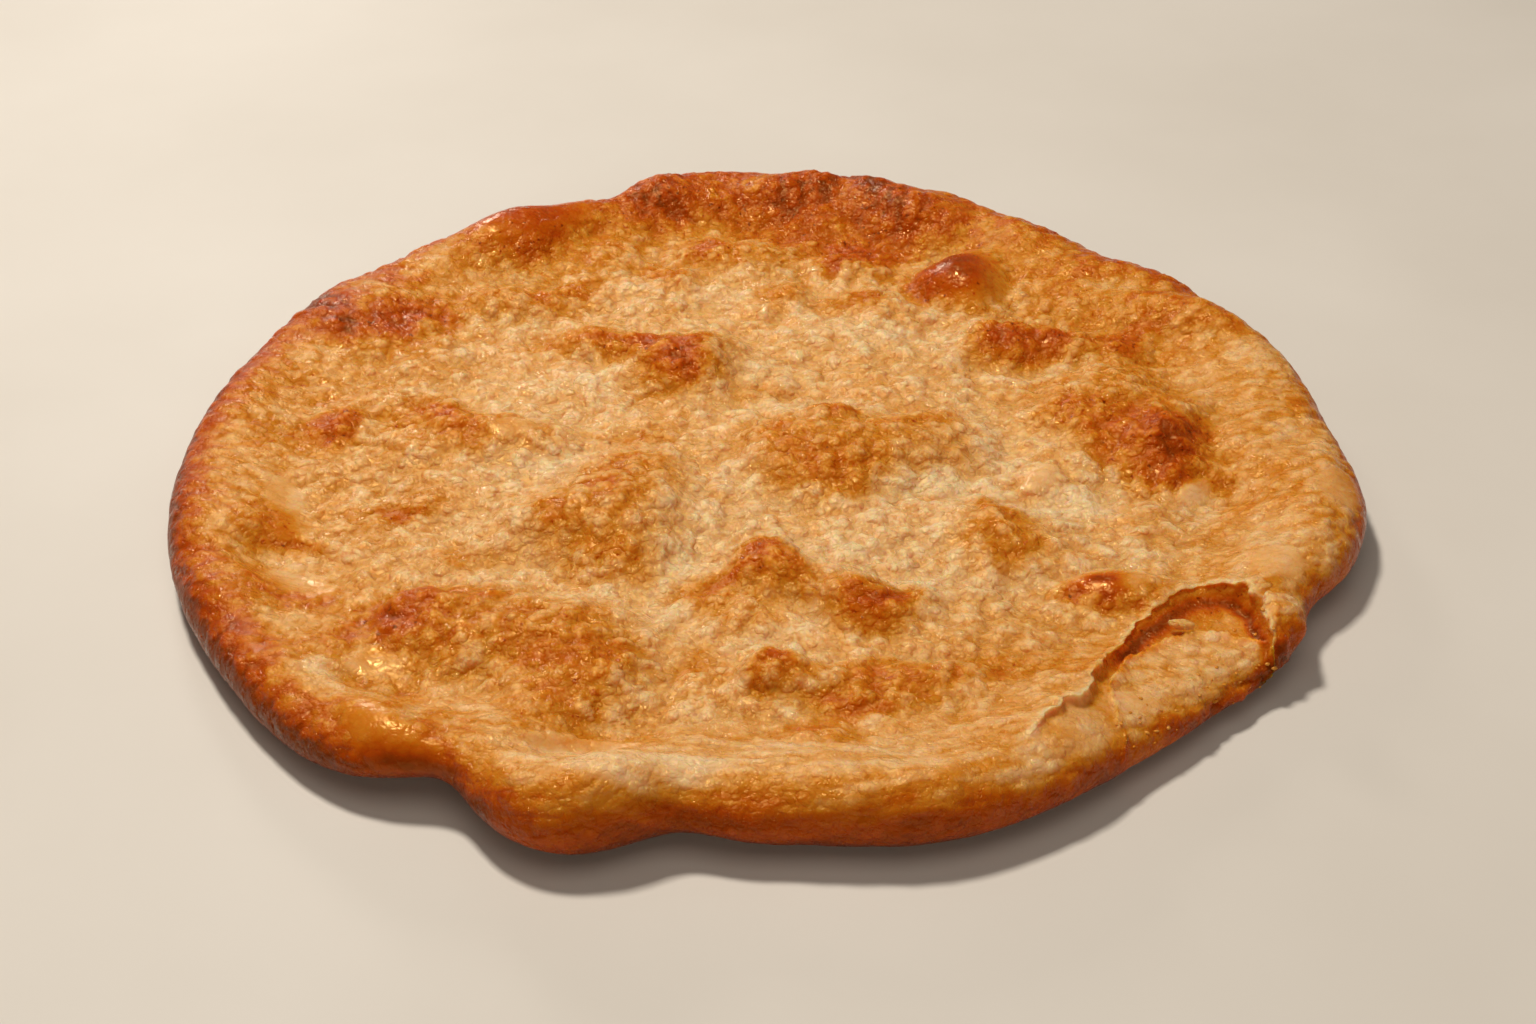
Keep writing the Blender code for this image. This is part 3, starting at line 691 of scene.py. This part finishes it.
# Browning of the skin, with painted shade on mound fronts, rim sides and the tear's crease, and painted
# highlights on bubble tops and the lip's edge.
def browning_and_painted_light(x, y, masks, high):
    inside, angle = masks["inside"], masks["angle"]
    tone = np.full_like(x, MIDDLE_TONE)
    for amount, begins, over in OUTWARD_TONES:
        tone += amount * smooth_step((begins - inside) / over)
    tone += wave(angle, RIM_TOAST) * smooth_step((26.0 - inside) / 16.0)
    tone += wave(angle, EDGE_TOAST) * smooth_step((11.0 - inside) / 8.0)
    # browning with painted shade down the rim's side and where it tucks under
    tone += SIDE_TONE_AND_SHADE * smooth_step((masks["bend"] - 0.45) / 1.0)
    tone += TUCK_TONE_AND_SHADE * smooth_step(masks["tuck"] / 1.2)
    length, amount = RAGGED
    ragged_x, ragged_y = wander(x, y)
    ragged_x = ragged_x + amount * layered_noise(x, y, length, 2, SEED + 70)
    ragged_y = ragged_y + amount * layered_noise(x, y, length, 2, SEED + 73)
    for place in TOASTED:
        tone += TOASTING * place[5] * smooth_step(0.9 * oval(ragged_x, ragged_y, place))
    tone += CLOUDS[1] * layered_noise(x, y, CLOUDS[0], 4, SEED + 76)
    # browning of the mounds, with painted shade leaning onto their front slopes
    tone += MOUND_TONE_AND_SHADE * blister_height(x, y + MOUND_SHADE_LEAN)
    # the tear's tones, then the painted highlight on the bubbles' tops and the painted shade between them
    tone += tear_tone_and_light(masks) - BUBBLE_LIGHT_AND_SHADE * high
    width, differs = UNDER_PATCHES
    below = UNDER_TONE + differs * layered_noise(masks["low_x"], masks["low_y"], width, 4, SEED + 79)
    tone += (below - tone) * smooth_step((masks["low_run"] - 6.0) / 22.0)
    return np.clip(tone, 0.0, 1.0)


# ---------------------------------------------------------------- the crust

TABLE_GAP = 0.02                 # the crust stays this far above the table


def give_attribute(mesh, name, values):
    layer = mesh.attributes.new(name, "FLOAT", "POINT")
    layer.data.foreach_set("value", np.asarray(values, np.float32))


def placed(name, mesh):
    """The mesh as a smoothly shaded piece of the scene."""
    mesh.shade_smooth()
    piece = bpy.data.objects.new(name, mesh)
    bpy.context.scene.collection.objects.link(piece)
    return piece


def crust():
    """The crust, and its points in millimetres."""
    flat, faces = laid_out_skin()
    x, y = flat[:, 0], flat[:, 1]
    points, masks = wrapped(x, y)
    height, high, smooth = relief(x, y, masks)
    points = points + point_normals(points, faces) * dented_below(height, masks)[:, None]
    points[:, 2] = np.maximum(points[:, 2], TABLE_GAP)

    mesh = bpy.data.meshes.new("crust")
    mesh.from_pydata((points * MM).tolist(), [], faces)
    inside, under = masks["inside"], masks["under"]
    # the browning carries painted shade and painted highlights as well
    give_attribute(mesh, "browning_and_painted_light", browning_and_painted_light(x, y, masks, high))
    give_attribute(mesh, "glassy", np.maximum(smooth, 0.35 * masks["bared"]))
    give_attribute(mesh, "flecked", np.maximum(smooth_step((inside - 6.0) / 8.0), under))
    give_attribute(mesh, "rough_skin", np.maximum(smooth_step((inside - 12.0) / 22.0), 0.7 * under))
    return placed("crust", mesh), points


# ---------------------------------------------------------------- scraps of torn crust

FLAKE_AT = (72.2, -55.4, LEDGE_HEIGHT + 0.4)
FLAKE_HALF = (2.4, 0.95, 0.8)    # half its length, width and height
FLAKE_TURN = -8.0
FLAKE_TONE = 0.30

# bands where the crumbs lie: (x and y of one end, x and y of the other, width, crumbs)
CRUMB_BANDS = [(58, -84, 87, -63, 4.0, 34), (84, -50, 88, -64, 3.0, 12)]
CRUMB_SIZES = (0.16, 0.38)       # half widths
CRUMB_TONE = 0.46


def add_scrap(scraps, centre, half, turn, ragged, seed, detail):
    """A ragged lump of crust, drawn out to its half length, width and height."""
    made = bmesh.ops.create_icosphere(scraps, subdivisions=detail, radius=1.0)["verts"]
    stretched = np.array([v.co for v in made]) * np.array(half)
    length, across = stretched[:, 0] + 1.3 * stretched[:, 2], stretched[:, 1] - 0.7 * stretched[:, 2]
    swell = layered_noise(length + 50.0, across, 0.7 * half[1], 3, seed)
    stretched = stretched * (1 + ragged * swell)[:, None]
    c, s = math.cos(math.radians(turn)), math.sin(math.radians(turn))
    for v, (x, y, z) in zip(made, stretched):
        v.co = (centre[0] + x * c - y * s, centre[1] + x * s + y * c, centre[2] + z)


def finished_scraps(name, scraps, tone, pebbly):
    mesh = bpy.data.meshes.new(name)
    bmesh.ops.scale(scraps, vec=(MM, MM, MM), verts=scraps.verts)
    scraps.to_mesh(mesh)
    scraps.free()
    for attribute, value in (("browning_and_painted_light", tone), ("glassy", 0.3), ("flecked", 0.0), ("rough_skin", pebbly)):
        give_attribute(mesh, attribute, np.full(len(mesh.vertices), value))
    return placed(name, mesh)


def loose_flake():
    scraps = bmesh.new()
    add_scrap(scraps, FLAKE_AT, FLAKE_HALF, FLAKE_TURN, 0.16, SEED + 85, 4)
    return finished_scraps("loose_flake", scraps, FLAKE_TONE, 0.8)


def crumbs(points):
    """Crumbs along the torn edges, each on the nearest of the crust's points, the upper face's first."""
    draw = np.random.default_rng(11)
    scraps = bmesh.new()
    for x0, y0, x1, y1, width, count in CRUMB_BANDS:
        length = math.hypot(x1 - x0, y1 - y0)
        for _ in range(count):
            share, aside = draw.uniform(), draw.normal() * width / 2
            x = x0 + (x1 - x0) * share - (y1 - y0) / length * aside
            y = y0 + (y1 - y0) * share + (x1 - x0) / length * aside
            gap = (points[:, 0] - x) ** 2 + (points[:, 1] - y) ** 2 - 4.0 * (points[:, 2] > 6.0)
            half = draw.uniform(*CRUMB_SIZES) * np.array([draw.uniform(1.0, 1.8), 1.0, 0.7])
            add_scrap(scraps, points[np.argmin(gap)], half, draw.uniform(0, 180), 0.2, SEED + 90, 2)
    return finished_scraps("crumbs", scraps, CRUMB_TONE, 0.2)


# ---------------------------------------------------------------- materials

# the dough's colour at each browning
FRY_TONES = [
    (0.00, (0.87, 0.630, 0.340)), (0.18, (0.83, 0.512, 0.235)), (0.34, (0.77, 0.382, 0.115)),
    (0.50, (0.65, 0.228, 0.014)), (0.65, (0.56, 0.122, 0.003)), (0.80, (0.47, 0.066, 0.002)),
    (1.00, (0.22, 0.030, 0.001)),
]
TABLE_TONES = [(0.3, (0.66, 0.595, 0.51)), (0.7, (0.72, 0.655, 0.57))]
OIL_GLOSS = (0.40, 0.12)                 # roughness where the crust is dry and where it is oily
OIL_TINT = (1.0, 0.62, 0.16, 1.0)        # of what shines back through the golden oil
SOAK_DEPTH = 5.0 * MM                    # how deep light soaks in
SOAK_TINT = (1.0, 0.38, 0.11)            # and the share of that depth for red, green and blue
BUMP_HEIGHT = 1.4 * MM


def node(tree, kind, **settings):
    made = tree.nodes.new(kind)
    for name, value in settings.items():
        setattr(made, name, value)
    return made


def feed(tree, made, sources, values):
    """Links the named sources into a node's sockets, sets the values of others, and gives the node back."""
    for name, source in sources.items():
        tree.links.new(source, made.inputs[name])
    for name, value in values.items():
        made.inputs[name].default_value = value
    return made


def noise(tree, vector, scale, detail, roughness=0.5):
    values = {"Scale": scale, "Detail": detail, "Roughness": roughness}
    return feed(tree, node(tree, "ShaderNodeTexNoise"), {"Vector": vector}, values).outputs


def map_range(tree, value, low, high, to_low=0.0, to_high=1.0):
    values = {"From Min": low, "From Max": high, "To Min": to_low, "To Max": to_high}
    return feed(tree, node(tree, "ShaderNodeMapRange"), {"Value": value}, values).outputs["Result"]


def ramp(tree, value, stops):
    made = node(tree, "ShaderNodeValToRGB")
    steps = made.color_ramp.elements
    while len(steps) > 1:
        steps.remove(steps[-1])
    steps[0].position = stops[0][0]
    steps[0].color = (*stops[0][1], 1.0)
    for position, colour in stops[1:]:
        steps.new(position).color = (*colour, 1.0)
    return feed(tree, made, {"Fac": value}, {}).outputs["Color"]


def math_node(tree, operation, a, b=None):
    made = node(tree, "ShaderNodeMath", operation=operation)
    for socket, value in zip(made.inputs, (a, b)):
        if isinstance(value, (int, float)):
            socket.default_value = value
        elif value is not None:
            tree.links.new(value, socket)
    return made.outputs[0]


def arrange(tree):
    """Sets the nodes out in columns, each to the left of what it feeds."""
    column = {made.name: 0 for made in tree.nodes}
    for _ in tree.nodes:
        for link in tree.links:
            giver, taker = link.from_node.name, link.to_node.name
            column[giver] = max(column[giver], column[taker] + 1)
    filled = dict.fromkeys(column.values(), 0)
    for name, left in column.items():
        tree.nodes[name].location = (-220 * left, -180 * filled[left])
        filled[left] += 1


def fried_dough_group():
    """Colour, roughness and fine height of fried dough from how far it has fried, with painted shade between
    its small bubbles.
    """
    tree = bpy.data.node_groups.new("fried_dough", "ShaderNodeTree")
    face = tree.interface
    for name, value in (("Browning and Light", 0.4), ("Flecked", 0.0), ("Glassy", 0.0), ("Pebbly", 1.0)):
        socket = face.new_socket(name=name, in_out="INPUT", socket_type="NodeSocketFloat")
        socket.min_value, socket.max_value, socket.default_value = 0.0, 1.0, value
    face.new_socket(name="Color", in_out="OUTPUT", socket_type="NodeSocketColor")
    face.new_socket(name="Roughness", in_out="OUTPUT", socket_type="NodeSocketFloat")
    face.new_socket(name="Height", in_out="OUTPUT", socket_type="NodeSocketFloat")
    given, leave = node(tree, "NodeGroupInput").outputs, node(tree, "NodeGroupOutput")

    def plus(a, b):
        return math_node(tree, "ADD", a, b)

    def minus(a, b):
        return math_node(tree, "SUBTRACT", a, b)

    def times(a, b):
        return math_node(tree, "MULTIPLY", a, b)

    place = node(tree, "ShaderNodeTexCoord").outputs["Object"]
    shifted = node(tree, "ShaderNodeVectorMath", operation="MULTIPLY_ADD")
    tree.links.new(noise(tree, place, 500.0, 3.0)["Color"], shifted.inputs[0])
    shifted.inputs[1].default_value = (1.2 * MM, 1.2 * MM, 1.2 * MM)
    tree.links.new(place, shifted.inputs[2])

    def stretched(along_x, turn=0.0):
        values = {"Scale": (along_x, 1.0, 1.0), "Rotation": (0.0, 0.0, math.radians(turn))}
        vector = {"Vector": shifted.outputs["Vector"]}
        return feed(tree, node(tree, "ShaderNodeMapping"), vector, values).outputs["Vector"]

    def creased(vector, scale):
        """1 in sharp creases, 0 on the rounded tops between them."""
        made = node(tree, "ShaderNodeTexNoise", noise_type="RIDGED_MULTIFRACTAL", normalize=False)
        values = {"Scale": scale, "Detail": 2.0, "Roughness": 0.55, "Offset": 1.0, "Gain": 1.0}
        return feed(tree, made, {"Vector": vector}, values).outputs["Fac"]

    def bubbled(vector, scale):
        """1 on top of small bubbles, each of its own width, and 0 between them."""
        made = feed(tree, node(tree, "ShaderNodeTexVoronoi"), {"Vector": vector}, {"Scale": scale})
        parts = feed(tree, node(tree, "ShaderNodeSeparateColor"), {"Color": made.outputs["Color"]}, {})
        radius = plus(times(parts.outputs["Red"], 0.34), 0.34)
        share = math_node(tree, "DIVIDE", made.outputs["Distance"], radius)
        return math_node(tree, "SQRT", math_node(tree, "MAXIMUM", minus(1.0, times(share, share)), 0.0))

    fine = noise(tree, stretched(0.7), 620.0, 6.0, 0.62)["Fac"]
    broad = noise(tree, place, 95.0, 4.0)["Fac"]
    freckles = noise(tree, place, 760.0, 2.0)["Fac"]
    oil = noise(tree, place, 420.0, 3.0)["Fac"]
    beads, grains, sand = (
        bubbled(stretched(along_x), scale) for along_x, scale in ((0.8, 330.0), (0.8, 560.0), (0.9, 1050.0))
    )
    creases, threads = creased(stretched(0.8), 300.0), creased(stretched(0.45, 8.0), 560.0)

    cloudy = plus(times(minus(fine, 0.5), 0.17), times(minus(broad, 0.5), 0.20))
    # painted shade: browner in the gaps between the grains and beads
    gap_shade = minus(0.04, times(plus(grains, beads), 0.04))
    toasted = map_range(tree, given["Browning and Light"], 0.38, 0.62, 0.0, 0.45)
    flecks = times(times(map_range(tree, freckles, 0.65, 0.74), toasted), given["Flecked"])
    tone = plus(plus(plus(given["Browning and Light"], cloudy), gap_shade), flecks)

    rough = map_range(tree, oil, 0.46, 0.62, *OIL_GLOSS)
    rough = times(rough, minus(1.0, times(given["Glassy"], 0.25)))

    height = times(fine, 0.20)
    for pattern, rise, more in (     # how far each stands out, and how much more on pebbly skin
        (grains, 0.12, 0.14), (beads, 0.20, 0.14), (sand, 0.10, 0.0),
        (creases, -0.12, 0.0), (threads, -0.05, 0.03),
    ):
        height = plus(height, times(pattern, plus(times(given["Pebbly"], more), rise)))
    height = times(height, minus(1.0, times(given["Glassy"], 0.75)))

    feed(tree, leave, {"Color": ramp(tree, tone, FRY_TONES), "Roughness": rough, "Height": height}, {})
    arrange(tree)
    return tree


def new_material(name):
    material = bpy.data.materials.new(name)
    material.use_nodes = True
    return material, material.node_tree, material.node_tree.nodes["Principled BSDF"]


def crust_material(name, dough, soak):
    """Fried dough that light soaks into by the given share."""
    material, tree, shader = new_material(name)
    fried = node(tree, "ShaderNodeGroup", node_tree=dough)
    for attribute, socket in (
        ("browning_and_painted_light", "Browning and Light"), ("flecked", "Flecked"), ("glassy", "Glassy"), ("rough_skin", "Pebbly"),
    ):
        source = node(tree, "ShaderNodeAttribute", attribute_name=attribute)
        tree.links.new(source.outputs["Fac"], fried.inputs[socket])
    bump = node(tree, "ShaderNodeBump")
    feed(tree, bump, {"Height": fried.outputs["Height"]}, {"Strength": 1.0, "Distance": BUMP_HEIGHT})
    surface = {
        "Base Color": fried.outputs["Color"], "Roughness": fried.outputs["Roughness"],
        "Normal": bump.outputs["Normal"],
    }
    feed(tree, shader, surface, {
        "Specular IOR Level": 0.52, "Specular Tint": OIL_TINT, "Subsurface Weight": soak,
        "Subsurface Scale": SOAK_DEPTH, "Subsurface Radius": SOAK_TINT,
    })
    arrange(tree)
    return material


def table_material():
    material, tree, shader = new_material("pale_table")
    place = node(tree, "ShaderNodeTexCoord").outputs["Object"]
    cloud = noise(tree, place, 9.0, 6.0)["Fac"]
    feed(tree, shader, {"Base Color": ramp(tree, cloud, TABLE_TONES)}, {"Roughness": 0.6})
    arrange(tree)
    return material


# ---------------------------------------------------------------- table, light and camera

# places and sizes are in metres here
TABLE_HALF = 3.0
# (name, place, size, power, colour, whether it leaves a glint on the crust)
LIGHTS = [
    ("window", (-0.26, 0.30, 0.93), 0.14, 8.5, (1.0, 0.955, 0.89), True),
    ("low_window", (-0.40, 1.10, 0.46), 0.20, 2.2, (1.0, 0.955, 0.89), True),
    ("overhead", (0.0, -0.35, 1.15), 0.9, 2.4, (1.0, 0.955, 0.90), False),
    ("fill", (0.20, -1.1, 0.42), 0.7, 2.3, (1.0, 0.92, 0.82), False),
]
ROOM_COLOUR = (1.0, 0.95, 0.89, 1.0)
ROOM_STRENGTH = 0.05
EYE = (0.002, -0.37509, 0.24828)
EYE_TILT = 34.0                  # below level
LENS, SENSOR = 55.0, 36.0        # millimetres


def table():
    half = TABLE_HALF
    corners = [(-half, -half, 0), (half, -half, 0), (half, half, 0), (-half, half, 0)]
    mesh = bpy.data.meshes.new("table_top")
    mesh.from_pydata(corners, [], [(0, 1, 2, 3)])
    mesh.materials.append(table_material())
    top = bpy.data.objects.new("table_top", mesh)
    bpy.context.scene.collection.objects.link(top)


def area_light(name, at, size, power, colour, shines):
    """A square light aimed at the bread."""
    data = bpy.data.lights.new(name, "AREA")
    data.size = size
    data.energy = power
    data.color = colour
    light = bpy.data.objects.new(name, data)
    light.location = at
    light.visible_glossy = shines
    light.rotation_euler = (-Vector(at)).to_track_quat("-Z", "Y").to_euler()
    bpy.context.scene.collection.objects.link(light)


def studio():
    for row in LIGHTS:
        area_light(*row)
    world = bpy.data.worlds.new("room")
    world.use_nodes = True
    background = world.node_tree.nodes["Background"]
    feed(world.node_tree, background, {}, {"Color": ROOM_COLOUR, "Strength": ROOM_STRENGTH})
    bpy.context.scene.world = world
    bpy.context.scene.view_settings.view_transform = "Standard"


def camera():
    data = bpy.data.cameras.new("camera")
    data.lens = LENS
    data.sensor_width = SENSOR
    data.clip_start = 0.01
    eye = bpy.data.objects.new("camera", data)
    eye.location = EYE
    eye.rotation_euler = (math.radians(90.0 - EYE_TILT), 0.0, 0.0)
    bpy.context.scene.collection.objects.link(eye)
    bpy.context.scene.camera = eye


# ---------------------------------------------------------------- putting it together

dough = fried_dough_group()
fried_crust = crust_material("fried_crust", dough, 0.7)
dry_crust = crust_material("dry_crust", dough, 0.0)
skin, skin_points = crust()
for piece, material in ((skin, fried_crust), (loose_flake(), fried_crust), (crumbs(skin_points), dry_crust)):
    piece.data.materials.append(material)
    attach(piece, "root")
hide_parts("langos")
table()
studio()
camera()
